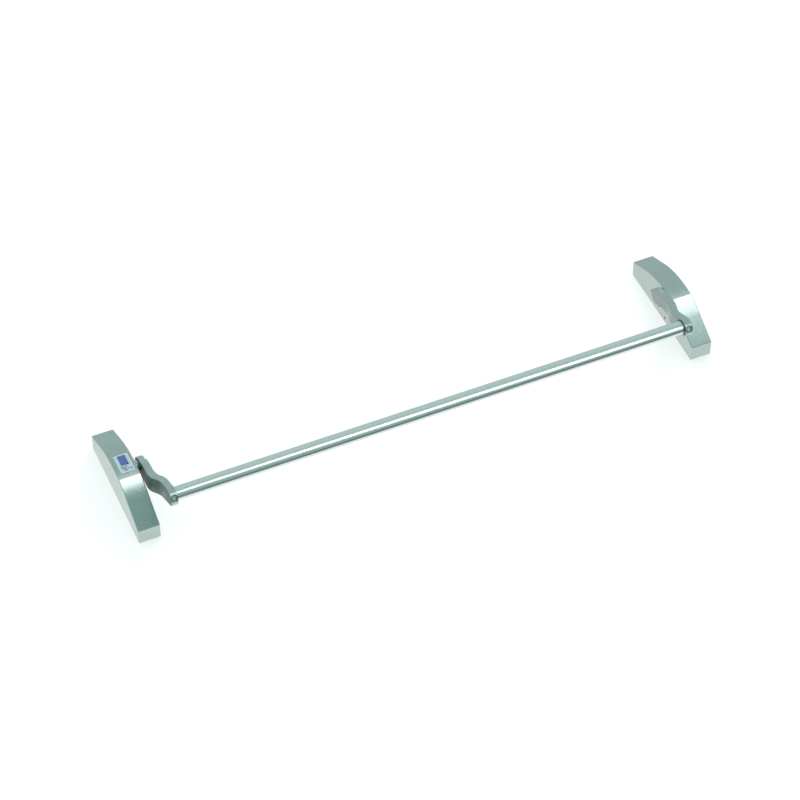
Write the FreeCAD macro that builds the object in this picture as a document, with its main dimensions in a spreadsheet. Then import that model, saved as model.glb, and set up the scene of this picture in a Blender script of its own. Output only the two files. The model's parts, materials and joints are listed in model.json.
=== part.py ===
"""Horizontal push-bar exit device, lying on its back.

Frame, in millimetres: X runs along the bar, +Y towards the upper end of the cases when the device
hangs on a door, +Z out of the door face. The origin is on the mounting plane, midway between the
two cases and at half their length. Inside a case, "inward" is the distance from the case's middle
plane towards the bar, so it is +X in the active case and -X in the passive case.
"""
import FreeCAD, Part
import math
import os

import Sketcher

Vector = FreeCAD.Vector
Rotation = FreeCAD.Rotation
Placement = FreeCAD.Placement

ALONG_X = Rotation(Vector(0, 1, 0), 90)
UPRIGHT = Rotation()

doc = FreeCAD.newDocument("exit_device")
sheet = doc.addObject("Spreadsheet::Sheet", "Dims")

# ---------------------------------------------------------------- driving dimensions, mm and degrees
DRIVING = {
    # cases
    "case_spacing": 1060.0, "case_width": 40.0, "case_length": 235.0, "end_height": 31.5,
    "far_slope": 26.5, "near_slope": 27.5, "crease_y": -30.5, "crease_height": 72.5,
    "crease_far_angle": 5.7, "crease_near_angle": 16.7, "cover_wall": 1.5, "cover_round": 1.2,
    "cover_gap": 0.3, "cover_hole_gap": 0.6, "plate_thick": 2.5, "door_hole_y": 100.0,
    "door_hole_radius": 3.25,
    # cover screws, M4 countersunk, along X
    "cover_screw_radius": 2.0, "cover_screw_head": 3.0, "cover_screw_length": 5.2,
    "upper_screw_y": 42.5, "upper_screw_z": 27.0, "lower_screw_y": -13.0, "lower_screw_z": 8.5,
    "screw_hole_gap": 0.1, "tab_half_width": 4.5, "tab_above_screw": 5.0,
    # pivot
    "pivot_height": 57.6, "shaft_radius": 7.0, "shaft_clearance": 0.05, "bush_radius": 9.0,
    "bush_flange_radius": 11.0, "bush_flange": 1.0, "bracket_half_width": 14.0, "cheek_thick": 2.5,
    "cheek_top_radius": 13.0, "cheek_half_foot": 24.0, "bracket_half_length": 30.0, "rivet_radius": 2.0,
    "rivet_head_radius": 3.5, "rivet_head": 1.2, "rivet_y": 26.0, "rivet_u": 8.0,
    "clip_radius": 9.5, "clip_thick": 0.9, "clip_play": 0.05, "groove_radius": 5.8, "groove_shoulder": 1.0,
    "washer_radius": 11.0, "washer_gap": 0.4, "shaft_short": 2.0,
    # crank and drive
    "swing": 18.0, "crank_radius": 30.0, "crank_low": 2.0, "crank_high": 8.0, "crank_ring": 12.5,
    "crank_eye": 6.0, "crank_pin_radius": 3.0, "crank_pin_end": -6.0, "stop_pin_radius": 3.0,
    "bumper_radius": 5.0, "bumper_overhang": 0.5, "stop_offset": 11.7, "cross_pin_radius": 2.0,
    # slider and spindle hub, in the active case
    "slot_clearance": 0.35, "body_gap": 0.3, "hub_turn": 45.0, "hub_y": 70.0,
    "slider_low": 7.3, "slider_thick": 3.0, "slider_half_width": 8.5, "yoke_half_width": 17.2,
    "yoke_half_length": 17.0, "yoke_flare": 4.0, "yoke_play": 0.4, "slider_tail_y": -46.0,
    "guide_y": 38.0, "guide_radius": 3.0,
    "guide_collar_radius": 5.0, "guide_head_radius": 5.5, "guide_head": 2.0,
    "ear_low": -5.0, "ear_high": -1.0, "ear_half_width": 7.5, "ear_top": 33.0, "ear_slot_floor": 22.0,
    "hub_disc_radius": 16.0, "hub_spigot_radius": 11.0, "hub_neck_radius": 7.5, "hub_top": 16.0,
    "hub_floor": 0.3, "hub_disc_gap": 0.5, "hub_pin_radius": 2.5, "hub_pin_above": 1.2,
    "spindle_square": 9.0,
    # return spring
    "coil_radius": 10.5, "wire_radius": 1.0, "coil_pitch": 2.6, "spring_start": 0.5,
    "leg_gap": 0.1, "leg_overrun": 3.0,
    # arms and bar
    "arm_gap": 5.0, "lug_thick": 11.0, "arm_step": 2.0, "joggle": 11.5, "joggle_start_y": -47.0,
    "joggle_end_y": -96.0, "joggle_lead": 6.0, "lug_radius": 15.5, "lug_step_radius": 28.0,
    "bar_y": -123.0, "bar_z": 105.0, "bar_radius": 12.5, "bar_wall": 1.5, "boss_radius": 16.7,
    "boss_offset": 3.5, "boss_tilt": 30.0, "socket_depth": 10.0, "bar_end_gap": 0.2,
    "set_screw_radius": 4.5, "set_screw_seat": 5.8, "set_screw_seat_depth": 3.0, "set_screw_socket": 2.5,
    # the arm's web seen from the side: crown above the lug, upper edge, lower edge, and the heel
    # where it meets the lug
    "web_bend": 22.0, "crown_y": 0.0, "crown_z": 79.0, "web_top_y": -28.0, "web_top_z": 89.0,
    "web_top_end_y": -62.0, "web_top_end_z": 92.8, "web_low_end_y": -84.0, "web_low_end_z": 64.5,
    "web_low_y": -45.0, "web_low_z": 47.0, "heel_y": -27.0, "heel_z": 46.0,
    # the relief cut into the web's lower inward side, which leaves the lug and the boss standing round
    "relief_back": 6.5, "relief_lug_radius": 20.0, "relief_boss_margin": 0.8, "relief_bend_y": -46.0,
    "relief_bend_z": 62.0, "relief_end_y": -75.0, "relief_end_z": 72.0,
    # badge on the active cover
    "badge_thick": 0.4, "badge_half_width": 12.5, "badge_inward": 1.5, "badge_low_y": -19.5,
    "badge_high_y": 24.5,
}


class Size:
    """A number together with the spreadsheet formula that gives it."""

    def __init__(self, value, formula):
        self.value = float(value)
        self.formula = formula

    def __add__(self, other):
        other = size(other)
        return Size(self.value + other.value, f"({self.formula} + {other.formula})")

    def __sub__(self, other):
        other = size(other)
        return Size(self.value - other.value, f"({self.formula} - {other.formula})")

    def __mul__(self, other):
        other = size(other)
        return Size(self.value * other.value, f"({self.formula} * {other.formula})")

    def __truediv__(self, other):
        other = size(other)
        return Size(self.value / other.value, f"({self.formula} / {other.formula})")

    def __rtruediv__(self, other):
        return size(other) / self

    def __neg__(self):
        return Size(-self.value, f"(0 - {self.formula})")

    def __radd__(self, other):
        return size(other) + self

    def __rsub__(self, other):
        return size(other) - self

    def __rmul__(self, other):
        return size(other) * self


def size(number):
    return number if isinstance(number, Size) else Size(number, f"({float(number)!r})")


def sin(angle):
    return Size(math.sin(math.radians(angle.value)), f"sin({angle.formula})")


def cos(angle):
    return Size(math.cos(math.radians(angle.value)), f"cos({angle.formula})")


def tan(angle):
    return Size(math.tan(math.radians(angle.value)), f"tan({angle.formula})")


class Dimensions:
    """Gives each alias of the sheet as a Size: dim.case_width."""


dim = Dimensions()
for row, (alias, number) in enumerate(DRIVING.items(), start=1):
    sheet.set(f"A{row}", alias)
    sheet.set(f"B{row}", str(number))
    sheet.setAlias(f"B{row}", alias)
    setattr(dim, alias, Size(number, f"Dims.{alias}"))
doc.recompute()

PAST = 1.0  # how far a cutting tool reaches past the face that it opens
CLEAR = 40.0  # how far a cutting tool reaches where nothing else lies in its way
TANGENT = 1.0001  # keeps a half circle's radius a hair over half its chord


# ---------------------------------------------------------------- derived sizes
half_width = dim.case_width / 2
half_length = dim.case_length / 2
inner_half = half_width - dim.cover_wall
plate_half_width = inner_half - dim.cover_gap
half_swing = dim.swing / 2
half_turn = dim.hub_turn / 2

# crank pin at rest, measured from the pivot axis; the slider starts half its travel below the middle
half_travel = dim.crank_radius * sin(half_swing)
crank_pin_y = -half_travel
crank_pin_z = dim.pivot_height - dim.crank_radius * cos(half_swing)
stop_y = crank_pin_y - dim.stop_offset * cos(half_swing)
stop_z = crank_pin_z + dim.stop_offset * sin(half_swing)
hub_pin_reach = half_travel / sin(half_turn)
slider_top = dim.slider_low + dim.slider_thick
slider_middle_y = dim.hub_y - half_travel
crank_middle = (dim.crank_low + dim.crank_high) / 2

# the cover's two top arcs meet at the crease, each tangent to its straight flank
far_radius = (
    (dim.end_height + tan(dim.far_slope) * (half_length - dim.crease_y) - dim.crease_height)
    / (tan(dim.far_slope) * (sin(dim.far_slope) + sin(dim.crease_far_angle))
       - cos(dim.crease_far_angle) + cos(dim.far_slope)))
near_radius = (
    (dim.end_height + tan(dim.near_slope) * (half_length + dim.crease_y) - dim.crease_height)
    / (tan(dim.near_slope) * (sin(dim.near_slope) - sin(dim.crease_near_angle))
       - cos(dim.crease_near_angle) + cos(dim.near_slope)))
far_centre_y = dim.crease_y + far_radius * sin(dim.crease_far_angle)
far_centre_z = dim.crease_height - far_radius * cos(dim.crease_far_angle)
near_centre_y = dim.crease_y + near_radius * sin(dim.crease_near_angle)
near_centre_z = dim.crease_height - near_radius * cos(dim.crease_near_angle)

# arm stations, measured inward
arm_back = half_width + dim.arm_gap
lug_front = arm_back + dim.lug_thick
arm_front = lug_front + dim.arm_step
boss_back = arm_back + dim.joggle
boss_front = arm_front + dim.joggle
socket_floor = boss_front - dim.socket_depth
joggle_run = dim.joggle_start_y - dim.joggle_end_y
joggle_bend = (joggle_run * joggle_run + dim.joggle * dim.joggle) / (dim.joggle * 4)
boss_y = dim.bar_y - dim.boss_offset * cos(dim.boss_tilt)
boss_z = dim.bar_z + dim.boss_offset * sin(dim.boss_tilt)
shaft_end = lug_front - dim.shaft_short
lug_middle = (arm_back + lug_front) / 2
arm_pin_top = dim.lug_radius * 0.6
cheek_inner = dim.bracket_half_width - dim.cheek_thick
bush_end = dim.bracket_half_width + dim.bush_flange
clip_low = -(bush_end + dim.body_gap + dim.clip_thick)


class Side:
    """One end of the device: its name, and which way is inward along X."""

    def __init__(self, name, inward):
        self.name = name
        self.inward = inward
        self.x = dim.case_spacing * (-0.5 * inward)

    def span(self, low, high):
        """The X range, in the case's own frame, of a stretch measured inward."""
        low, high = size(low), size(high)
        return (low, high) if self.inward > 0 else (-high, -low)


ACTIVE = Side("active", +1)
PASSIVE = Side("passive", -1)
SIDES = (ACTIVE, PASSIVE)
nodes = []


# ---------------------------------------------------------------- helpers
def bind(thing, prop, amount):
    """Sets a property through its spreadsheet formula."""
    thing.setExpression(prop, size(amount).formula)


def place(thing, x=0, y=0, z=0, rotation=UPRIGHT):
    amounts = [size(a) for a in (x, y, z)]
    thing.Placement = Placement(Vector(*[a.value for a in amounts]), rotation)
    for axis, amount in zip("xyz", amounts):
        bind(thing, f"Placement.Base.{axis}", amount)


def node(thing, label, x=0):
    """Makes an object a sub-part: its label is the node's name."""
    thing.Label = label
    bind(thing, "Placement.Base.x", x)
    nodes.append(thing)
    return thing


def side_node(thing, side, name):
    return node(thing, f"{side.name}_{name}", side.x)


def body(name):
    return doc.addObject("PartDesign::Body", name)


def origin_plane(part, role):
    return next(f for f in part.Origin.OriginFeatures if f.Role == role)


def sketch_on(part, role, offset):
    drawing = part.newObject("Sketcher::SketchObject", part.Name + "_sketch")
    drawing.AttachmentSupport = (origin_plane(part, role), [""])
    drawing.MapMode = "FlatFace"
    drawing.AttachmentOffset = Placement(Vector(0, 0, size(offset).value), UPRIGHT)
    bind(drawing, "AttachmentOffset.Base.z", offset)
    return drawing


def pin_point(drawing, geometry, corner, point):
    """Ties one end of a sketch line or arc, or a circle's centre, to its place."""
    for kind, amount in zip(("DistanceX", "DistanceY"), point):
        amount = size(amount)
        index = drawing.addConstraint(
            Sketcher.Constraint(kind, -1, 1, geometry, corner, amount.value))
        bind(drawing, f"Constraints[{index}]", amount)


def set_radius(drawing, geometry, radius):
    index = drawing.addConstraint(Sketcher.Constraint("Radius", geometry, size(radius).value))
    bind(drawing, f"Constraints[{index}]", radius)


def draw_circle(drawing, centre, radius):
    middle = Vector(size(centre[0]).value, size(centre[1]).value, 0)
    geometry = drawing.addGeometry(Part.Circle(middle, Vector(0, 0, 1), size(radius).value))
    pin_point(drawing, geometry, 3, centre)
    set_radius(drawing, geometry, radius)


def arc_between(start, end, radius, bulge):
    """The minor arc from start to end; bulge +1 puts it on the left of the chord."""
    chord = end - start
    middle = (start + end) / 2
    left = Vector(-chord.y, chord.x, 0).normalize()
    rise = radius - math.sqrt(max(radius ** 2 - (chord.Length / 2) ** 2, 0.0))
    return Part.Arc(start, middle + left * (bulge * rise), end)


def draw_outline(drawing, corners, arcs=None):
    """Closed outline. arcs maps a corner's number to (radius, bulge) of the arc that leaves it."""
    arcs = arcs or {}
    points = [Vector(size(a).value, size(b).value, 0) for a, b in corners]
    for number, start in enumerate(points):
        end = points[(number + 1) % len(points)]
        if number not in arcs:
            geometry = drawing.addGeometry(Part.LineSegment(start, end))
            pin_point(drawing, geometry, 1, corners[number])
            pin_point(drawing, geometry, 2, corners[(number + 1) % len(points)])
            continue
        radius, bulge = arcs[number]
        curve = arc_between(start, end, size(radius).value, bulge)
        geometry = drawing.addGeometry(curve)
        first, last = (1, 2) if bulge < 0 else (2, 1)
        pin_point(drawing, geometry, first, corners[number])
        pin_point(drawing, geometry, last, corners[(number + 1) % len(points)])
        set_radius(drawing, geometry, radius)


def rectangle(low, high):
    return [(low[0], low[1]), (high[0], low[1]), (high[0], high[1]), (low[0], high[1])]


def pad(part, role, low, high, draw):
    """Adds the drawn outline between two stations along the plane's normal."""
    drawing = sketch_on(part, role, low)
    draw(drawing)
    feature = part.newObject("PartDesign::Pad", part.Name + "_pad")
    feature.Profile = drawing
    bind(feature, "Length", size(high) - size(low))
    doc.recompute()
    return feature


def pocket(part, role, low, high, draw):
    """Cuts the drawn outline between two stations, and makes sure that it cut something."""
    before = part.Shape.Volume
    drawing = sketch_on(part, role, high)
    draw(drawing)
    feature = part.newObject("PartDesign::Pocket", part.Name + "_pocket")
    feature.Profile = drawing
    bind(feature, "Length", size(high) - size(low))
    doc.recompute()
    if not part.Shape.Volume < before - 1e-3:
        raise RuntimeError(f"{feature.Name} in {part.Name} cut nothing")
    return feature


def dress(part, kind, amount, wanted):
    """Fillet or Chamfer on the edges of the last feature that the test picks."""
    base = part.Tip
    names = [f"Edge{n}" for n, edge in enumerate(base.Shape.Edges, start=1) if wanted(edge)]
    feature = part.newObject(f"PartDesign::{kind}", f"{part.Name}_{kind.lower()}")
    feature.Base = (base, names)
    bind(feature, "Radius" if kind == "Fillet" else "Size", amount)
    doc.recompute()
    return feature


def cylinder(name, radius, low, high, x=0, y=0, z=0, along="x"):
    """A round bar from low to high along X or Z."""
    rod = doc.addObject("Part::Cylinder", name)
    bind(rod, "Radius", radius)
    bind(rod, "Height", size(high) - size(low))
    if along == "x":
        place(rod, size(x) + low, y, z, ALONG_X)
    else:
        place(rod, x, y, size(z) + low)
    return rod


def cut(name, base, tool):
    result = doc.addObject("Part::Cut", name)
    result.Base = base
    result.Tool = tool
    return result


def fuse(name, *shapes):
    result = doc.addObject("Part::MultiFuse", name)
    result.Shapes = list(shapes)
    return result


def group(name, *shapes):
    result = doc.addObject("Part::Compound", name)
    result.Links = list(shapes)
    return result


def middle_of(edge):
    return edge.valueAt((edge.FirstParameter + edge.LastParameter) / 2)


# ---------------------------------------------------------------- case: cover, plate, bracket
def cover_outline(inset, floor):
    """Draws the case's side profile, moved in by the wall for the inside of the shell."""
    inset = size(inset)
    near, far = near_radius - inset, far_radius - inset
    half_bend = (dim.crease_near_angle - dim.crease_far_angle) / 2
    crease_lean = (dim.crease_near_angle + dim.crease_far_angle) / 2
    corner_depth = inset / cos(half_bend)
    end = half_length - inset
    corners = [
        (end, floor), (end, dim.end_height + inset * (tan(dim.far_slope) - 1 / cos(dim.far_slope))),
        (far_centre_y + far * sin(dim.far_slope), far_centre_z + far * cos(dim.far_slope)),
        (dim.crease_y + corner_depth * sin(crease_lean),
         dim.crease_height - corner_depth * cos(crease_lean)),
        (near_centre_y - near * sin(dim.near_slope), near_centre_z + near * cos(dim.near_slope)),
        (-end, dim.end_height + inset * (tan(dim.near_slope) - 1 / cos(dim.near_slope))), (-end, floor)]
    return lambda drawing: draw_outline(drawing, corners, {2: (far, -1), 3: (near, -1)})


def make_cover(side):
    """Pressed shell, open at the back, with the shaft hole and screw holes in its inward wall."""
    part = body(f"{side.name}_cover")
    pad(part, "YZ_Plane", -half_width, half_width, cover_outline(0, 0))

    def outer_edge(edge):
        spot = middle_of(edge)
        tangent_line = abs(spot.x) < 0.1 and spot.z > dim.end_height.value + 0.1 \
            and abs(spot.y - dim.crease_y.value) > 0.1
        return spot.z > 0.5 and not tangent_line

    dress(part, "Fillet", dim.cover_round, outer_edge)
    pocket(part, "YZ_Plane", -inner_half, inner_half, cover_outline(dim.cover_wall, -PAST))
    screw_hole = dim.cover_screw_radius + dim.screw_hole_gap
    holes = [(0, dim.pivot_height, dim.shaft_radius + dim.cover_hole_gap),
             (dim.upper_screw_y, dim.upper_screw_z, screw_hole),
             (dim.lower_screw_y, dim.lower_screw_z, screw_hole)]
    low, high = side.span(inner_half - PAST, half_width)
    for y, z, radius in holes:
        pocket(part, "YZ_Plane", low, high, lambda d: draw_circle(d, (y, z), radius))
    rim_width = 2 * screw_hole.value

    def outer_rim_of_screw_hole(edge):
        box = edge.BoundBox
        on_face = abs(box.XMin - side.inward * half_width.value) < 1e-3 and box.XLength < 1e-3
        return on_face and abs(box.YLength - rim_width) < 0.05 and abs(box.ZLength - rim_width) < 0.05

    dress(part, "Chamfer", dim.cover_screw_head - dim.cover_screw_radius, outer_rim_of_screw_hole)
    return side_node(part, side, "cover")


def make_base_plate(side):
    """Flat plate on the door, with two door-screw holes and two bent-up tabs for the cover screws."""
    part = body(f"{side.name}_base_plate")
    long_half = half_length - dim.cover_wall - dim.cover_gap

    def outline(drawing):
        draw_outline(drawing, rectangle((-plate_half_width, -long_half), (plate_half_width, long_half)))
        for y in (-dim.door_hole_y, dim.door_hole_y):
            draw_circle(drawing, (0, y), dim.door_hole_radius)
        for inward in (-dim.rivet_u, dim.rivet_u):
            for y in (-dim.rivet_y, dim.rivet_y):
                draw_circle(drawing, (inward, y), dim.rivet_radius)
        if side is ACTIVE:
            draw_circle(drawing, (0, dim.hub_y), dim.hub_spigot_radius + dim.shaft_clearance)
            for y in (-dim.guide_y, dim.guide_y):
                draw_circle(drawing, (0, y), dim.rivet_radius)

    pad(part, "XY_Plane", 0, dim.plate_thick, outline)
    low, high = side.span(plate_half_width - dim.plate_thick, plate_half_width)
    for y, z in ((dim.upper_screw_y, dim.upper_screw_z), (dim.lower_screw_y, dim.lower_screw_z)):
        def tab(drawing):
            draw_outline(drawing, rectangle((y - dim.tab_half_width, 0),
                                            (y + dim.tab_half_width, z + dim.tab_above_screw)))
        pad(part, "YZ_Plane", low, high, tab)
        pocket(part, "YZ_Plane", low - PAST, high + PAST,
               lambda d: draw_circle(d, (y, z), dim.cover_screw_radius))
    return side_node(part, side, "base_plate")


def make_cover_screws(side):
    """Two M4 countersunk socket screws, in one node."""
    screws = []
    for place_name, y, z in (("upper", dim.upper_screw_y, dim.upper_screw_z),
                             ("lower", dim.lower_screw_y, dim.lower_screw_z)):
        name = f"{side.name}_{place_name}_screw"
        head = doc.addObject("Part::Cone", name + "_head")
        depth = dim.cover_screw_head - dim.cover_screw_radius
        bind(head, "Radius1", dim.cover_screw_head)
        bind(head, "Radius2", dim.cover_screw_radius)
        bind(head, "Height", depth)
        outward = Rotation(Vector(0, 1, 0), -90 * side.inward)
        place(head, side.inward * half_width, y, z, outward)
        low, high = side.span(half_width - dim.cover_screw_length, half_width - depth)
        shank = cylinder(name + "_shank", dim.cover_screw_radius, low, high, y=y, z=z)
        socket = doc.addObject("Part::Prism", name + "_socket")
        socket.Polygon = 6
        bind(socket, "Circumradius", dim.cover_screw_radius * 0.7)
        bind(socket, "Height", depth * 1.6)
        place(socket, side.inward * half_width, y, z, outward)
        screws.append(cut(name, fuse(name + "_solid", head, shank), socket))
    return side_node(group(f"{side.name}_cover_screws", *screws), side, "cover_screws")


def make_bracket(side):
    """U bracket: a foot riveted to the plate and two cheeks that carry the pivot bushes."""
    part = body(f"{side.name}_pivot_bracket")
    foot = dim.plate_thick
    foot_top = dim.plate_thick + dim.cheek_thick
    top = dim.pivot_height
    corners = [
        (-dim.bracket_half_length, foot), (dim.bracket_half_length, foot),
        (dim.bracket_half_length, foot_top), (dim.cheek_half_foot, foot_top),
        (dim.cheek_top_radius, top), (-dim.cheek_top_radius, top),
        (-dim.cheek_half_foot, foot_top), (-dim.bracket_half_length, foot_top)]
    pad(part, "YZ_Plane", -dim.bracket_half_width, dim.bracket_half_width,
        lambda d: draw_outline(d, corners, {4: (dim.cheek_top_radius * TANGENT, -1)}))
    reach = dim.bracket_half_length + PAST
    pocket(part, "YZ_Plane", -cheek_inner, cheek_inner, lambda d: draw_outline(
        d, rectangle((-reach, foot_top), (reach, top + dim.cheek_top_radius + PAST))))
    pocket(part, "YZ_Plane", -dim.bracket_half_width, dim.bracket_half_width,
           lambda d: draw_circle(d, (0, top), dim.bush_radius))
    pocket(part, "YZ_Plane", -dim.bracket_half_width, dim.bracket_half_width,
           lambda d: draw_circle(d, (stop_y, stop_z), dim.stop_pin_radius))

    def rivet_holes(drawing):
        for inward in (-dim.rivet_u, dim.rivet_u):
            for y in (-dim.rivet_y, dim.rivet_y):
                draw_circle(drawing, (inward, y), dim.rivet_radius)

    pocket(part, "XY_Plane", foot - PAST, foot_top + PAST, rivet_holes)
    return side_node(part, side, "pivot_bracket")


def make_rivets(side):
    """Four rivets that join the bracket's foot to the base plate, flush at the back."""
    foot_top = dim.plate_thick + dim.cheek_thick
    rivets = []
    for across in (-1, 1):
        for along in (-1, 1):
            name = f"{side.name}_rivet_{across + 1}{along + 1}"
            spot = {"x": across * dim.rivet_u, "y": along * dim.rivet_y}
            shank = cylinder(name + "_shank", dim.rivet_radius, 0, foot_top, along="z", **spot)
            head = cylinder(name + "_head", dim.rivet_head_radius, foot_top,
                            foot_top + dim.rivet_head, along="z", **spot)
            rivets.append(fuse(name, shank, head))
    return side_node(group(f"{side.name}_bracket_rivets", *rivets), side, "bracket_rivets")


def make_bushes(side):
    """Two flanged bushes, one in each cheek, in which the pivot shaft turns."""
    bore = dim.shaft_radius + dim.shaft_clearance
    bushes = []
    for number, facing in enumerate((-1, 1)):
        name = f"{side.name}_bush_{number}"
        stations = [facing * cheek_inner, facing * dim.bracket_half_width, facing * bush_end]
        low, high = sorted(stations[:2], key=lambda s: s.value)
        sleeve = cylinder(name + "_sleeve", dim.bush_radius, low, high, z=dim.pivot_height)
        low, high = sorted(stations[1:], key=lambda s: s.value)
        flange = cylinder(name + "_flange", dim.bush_flange_radius, low, high, z=dim.pivot_height)
        low, high = sorted([stations[0], stations[2]], key=lambda s: s.value)
        hole = cylinder(name + "_hole", bore, low - PAST, high + PAST, z=dim.pivot_height)
        bushes.append(cut(name, fuse(name + "_solid", sleeve, flange), hole))
    return side_node(group(f"{side.name}_pivot_bushes", *bushes), side, "pivot_bushes")


def make_stop(side):
    """Cross pin between the cheeks, and the rubber sleeve on it that the crank rests against."""
    pin = cylinder(f"{side.name}_stop_rod", dim.stop_pin_radius, -dim.bracket_half_width,
                   dim.bracket_half_width, y=stop_y, z=stop_z)
    side_node(group(f"{side.name}_stop", pin), side, "stop_pin")
    low, high = side.span(dim.crank_low - dim.bumper_overhang, dim.crank_high + dim.bumper_overhang)
    outside = cylinder(f"{side.name}_bumper_outside", dim.bumper_radius, low, high, y=stop_y, z=stop_z)
    inside = cylinder(f"{side.name}_bumper_inside", dim.stop_pin_radius, low - PAST, high + PAST,
                      y=stop_y, z=stop_z)
    side_node(cut(f"{side.name}_bumper", outside, inside), side, "stop_bumper")


# ---------------------------------------------------------------- pivot: shaft, crank, spring
def make_shaft(side):
    """Pivot shaft: grooved for a clip at the outer end, blind in the arm's lug at the other."""
    part = body(f"{side.name}_pivot_shaft")
    low, high = side.span(clip_low - dim.groove_shoulder, shaft_end)
    pad(part, "YZ_Plane", low, high, lambda d: draw_circle(d, (0, dim.pivot_height), dim.shaft_radius))
    low, high = side.span(clip_low - dim.clip_play, clip_low + dim.clip_thick + dim.clip_play)

    def ring(drawing):
        draw_circle(drawing, (0, dim.pivot_height), dim.shaft_radius + PAST)
        draw_circle(drawing, (0, dim.pivot_height), dim.groove_radius)

    pocket(part, "YZ_Plane", low, high, ring)
    reach = dim.shaft_radius + PAST
    for inward in (crank_middle, lug_middle):
        pocket(part, "XY_Plane", dim.pivot_height - reach, dim.pivot_height + reach,
               lambda d: draw_circle(d, (side.inward * inward, 0), dim.cross_pin_radius))
    return side_node(part, side, "pivot_shaft")


def make_crank(side):
    """Flat crank pinned on the shaft: ring, tapered lever and the eye for the drive pin."""
    part = body(f"{side.name}_crank")
    low, high = side.span(dim.crank_low, dim.crank_high)
    top = dim.pivot_height
    lean = (dim.crank_ring - dim.crank_eye) / dim.crank_radius
    # the lever's edges are the common tangents of the ring and the eye
    spread = Size(math.degrees(math.asin(lean.value)), f"(asin({lean.formula}) / 1 deg)")

    def lever(drawing):
        corners = []
        for sign in (-1, 1):
            edge = half_swing * -1 + sign * spread
            across = (sign * cos(edge), sign * sin(edge))
            ring_end = (dim.crank_ring * across[0], top + dim.crank_ring * across[1])
            eye_end = (crank_pin_y + dim.crank_eye * across[0], crank_pin_z + dim.crank_eye * across[1])
            corners += [ring_end, eye_end] if sign < 0 else [eye_end, ring_end]
        draw_outline(drawing, corners)

    pad(part, "YZ_Plane", low, high, lambda d: draw_circle(d, (0, top), dim.crank_ring))
    pad(part, "YZ_Plane", low, high, lambda d: draw_circle(d, (crank_pin_y, crank_pin_z), dim.crank_eye))
    pad(part, "YZ_Plane", low, high, lever)
    pocket(part, "YZ_Plane", low, high, lambda d: draw_circle(d, (0, top), dim.shaft_radius))
    pocket(part, "YZ_Plane", low, high,
           lambda d: draw_circle(d, (crank_pin_y, crank_pin_z), dim.crank_pin_radius))
    pocket(part, "XY_Plane", top - dim.crank_ring - PAST, top + dim.crank_ring + PAST,
           lambda d: draw_circle(d, (side.inward * crank_middle, 0), dim.cross_pin_radius))
    return side_node(part, side, "crank")


def make_crank_pin(side):
    """Drive pin, pressed into the crank's eye: the slider's fork and the spring bear on it."""
    low, high = side.span(dim.crank_pin_end, dim.crank_high)
    pin = cylinder(f"{side.name}_drive_rod", dim.crank_pin_radius, low, high,
                   y=crank_pin_y, z=crank_pin_z)
    side_node(group(f"{side.name}_drive", pin), side, "drive_pin")


def make_return_spring(side):
    """Torsion spring round the shaft. One leg bears on the drive pin, the other on the stop pin."""
    coil, wire = dim.coil_radius.value, dim.wire_radius.value
    top, gap = dim.pivot_height.value, dim.leg_gap.value

    def tangent_point(y, z, reach, turn):
        """Angle on the coil from which a straight leg just clears a pin, in degrees."""
        away = math.hypot(y, z - top)
        return math.degrees(math.atan2(z - top, y) + turn * math.acos((coil - reach) / away)), away

    first_reach = dim.crank_pin_radius.value + wire + gap
    last_reach = dim.stop_pin_radius.value + wire + gap
    first, first_away = tangent_point(crank_pin_y.value, crank_pin_z.value, first_reach, +1)
    last, last_away = tangent_point(stop_y.value, stop_z.value, last_reach, -1)
    whole_turns = 3
    turns = whole_turns + ((last - first) % 360) / 360
    start, step = dim.spring_start.value, dim.coil_pitch.value

    def at(angle, inward, radius=coil):
        place_y = radius * math.cos(math.radians(angle))
        place_z = top + radius * math.sin(math.radians(angle))
        return Vector(side.inward * inward, place_y, place_z)

    def along(angle):
        return Vector(0, -math.sin(math.radians(angle)), math.cos(math.radians(angle)))

    steps_per_turn = 24
    count = int(turns * steps_per_turn)
    coil_points = [at(first + 360 * turns * n / count, start - step * turns * n / count)
                   for n in range(count + 1)]
    overrun = dim.leg_overrun.value
    first_leg = math.sqrt(first_away ** 2 - (coil - first_reach) ** 2) + overrun
    last_leg = math.sqrt(last_away ** 2 - (coil - last_reach) ** 2) + overrun
    head, tail = coil_points[0], coil_points[-1]
    curve = Part.BSplineCurve()
    curve.interpolate(coil_points)
    solids = []
    section = Part.Wire(Part.makeCircle(wire, head, curve.tangent(curve.FirstParameter)[0]))
    solids.append(Part.Wire(curve.toShape()).makePipeShell([section], True, True))
    solids.append(Part.makeCylinder(wire, first_leg, head, along(first) * -1))
    solids.append(Part.makeCylinder(wire, last_leg, tail, along(last)))
    knuckle = wire * 1.02
    knuckles = [Part.makeSphere(knuckle, head), Part.makeSphere(knuckle, tail)]
    spring = doc.addObject("Part::Feature", f"{side.name}_spring")
    spring.Shape = solids[0].multiFuse(solids[1:] + knuckles)
    return side_node(spring, side, "return_spring")


def make_cross_pins(name, inward, low, high):
    """Spring pins that lock a crank or an arm on its shaft, one at each end of the device."""
    pins = []
    for side in SIDES:
        middle = side.x + side.inward * inward
        pins.append(cylinder(f"{side.name}_{name}", dim.cross_pin_radius, low, high, x=middle,
                             z=dim.pivot_height, along="z"))
    return node(group(name + "_group", *pins), name)


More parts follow.
